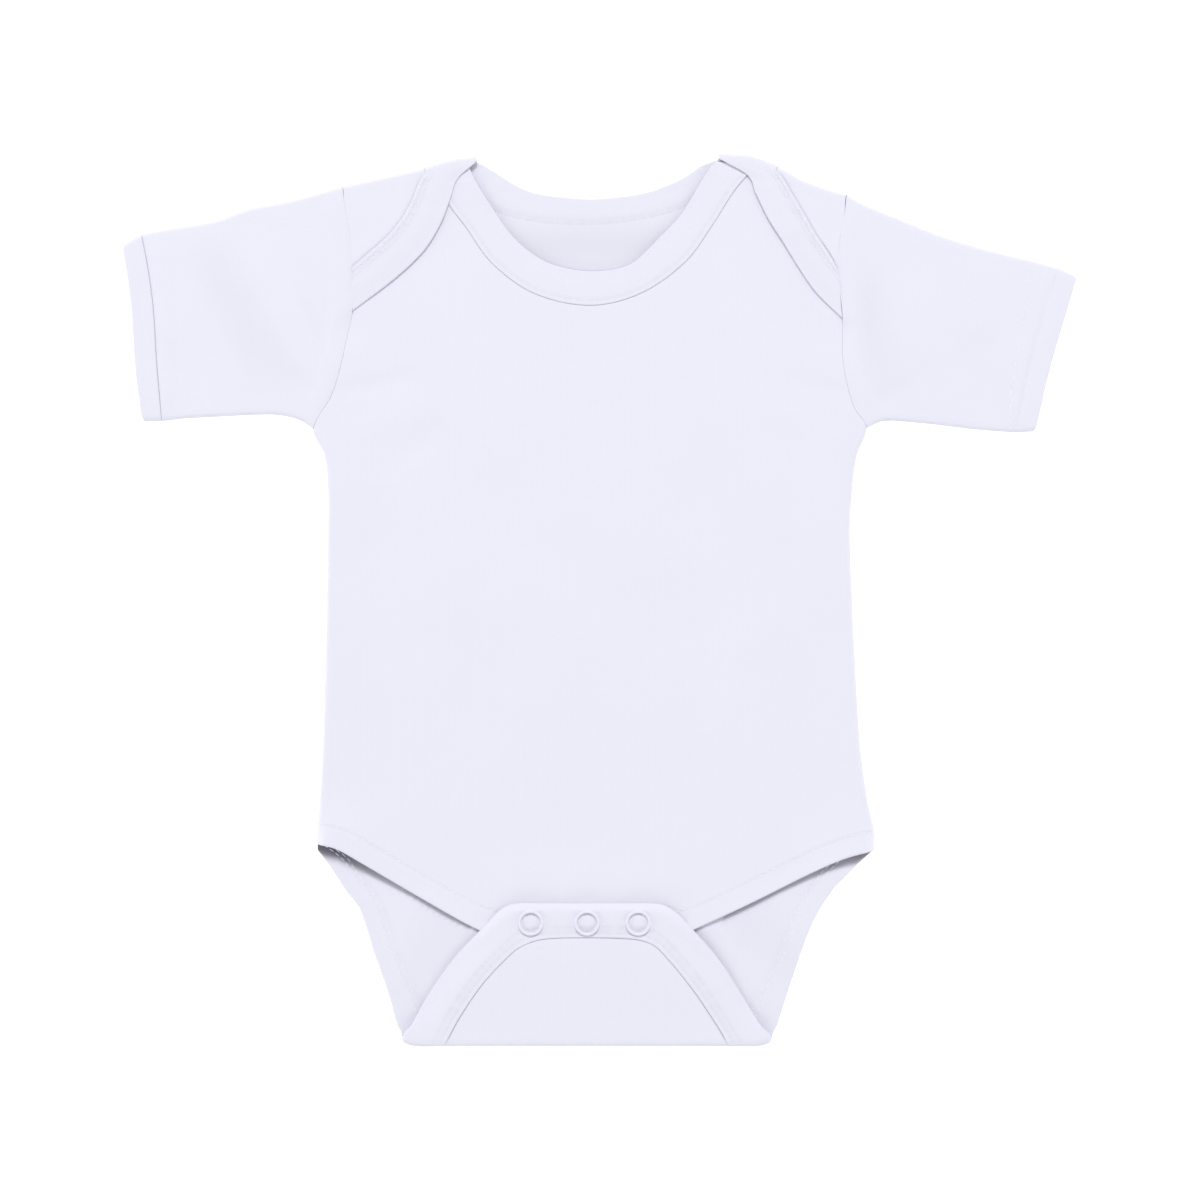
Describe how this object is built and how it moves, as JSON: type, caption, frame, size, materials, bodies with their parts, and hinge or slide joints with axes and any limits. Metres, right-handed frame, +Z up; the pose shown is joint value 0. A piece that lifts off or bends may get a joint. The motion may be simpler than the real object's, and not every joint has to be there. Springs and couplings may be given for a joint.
{
  "type": "baby bodysuit laid flat",
  "caption": "Plain white short-sleeved baby bodysuit laid flat, with lapped shoulders, bound neck, cuffs and legs, and a crotch flap closed with ring snaps.",
  "frame": {"origin": "middle of the garment's outline on the surface that it lies on", "axes": "+Z up from the surface, +Y towards the neck, +X across towards the wearer's left sleeve"},
  "size_m": [0.3911, 0.3655, 0.0075],
  "materials": {
    "jersey": "matt cotton jersey",
    "rib": "matt cotton rib binding",
    "snap": "white enamel"
  },
  "bodies": {
    "root": {"front_panel": "jersey", "back_panel": "jersey", "sleeve_left": "jersey", "sleeve_right": "jersey", "neck_binding_front": "rib", "neck_binding_back": "rib", "cuff_left": "rib", "cuff_right": "rib", "leg_binding_front": "rib", "leg_binding_back": "rib", "snap_cap_1": "snap", "snap_cap_2": "snap", "snap_cap_3": "snap", "snap_stud_1": "snap", "snap_stud_2": "snap", "snap_stud_3": "snap"}
  },
  "joints": []
}
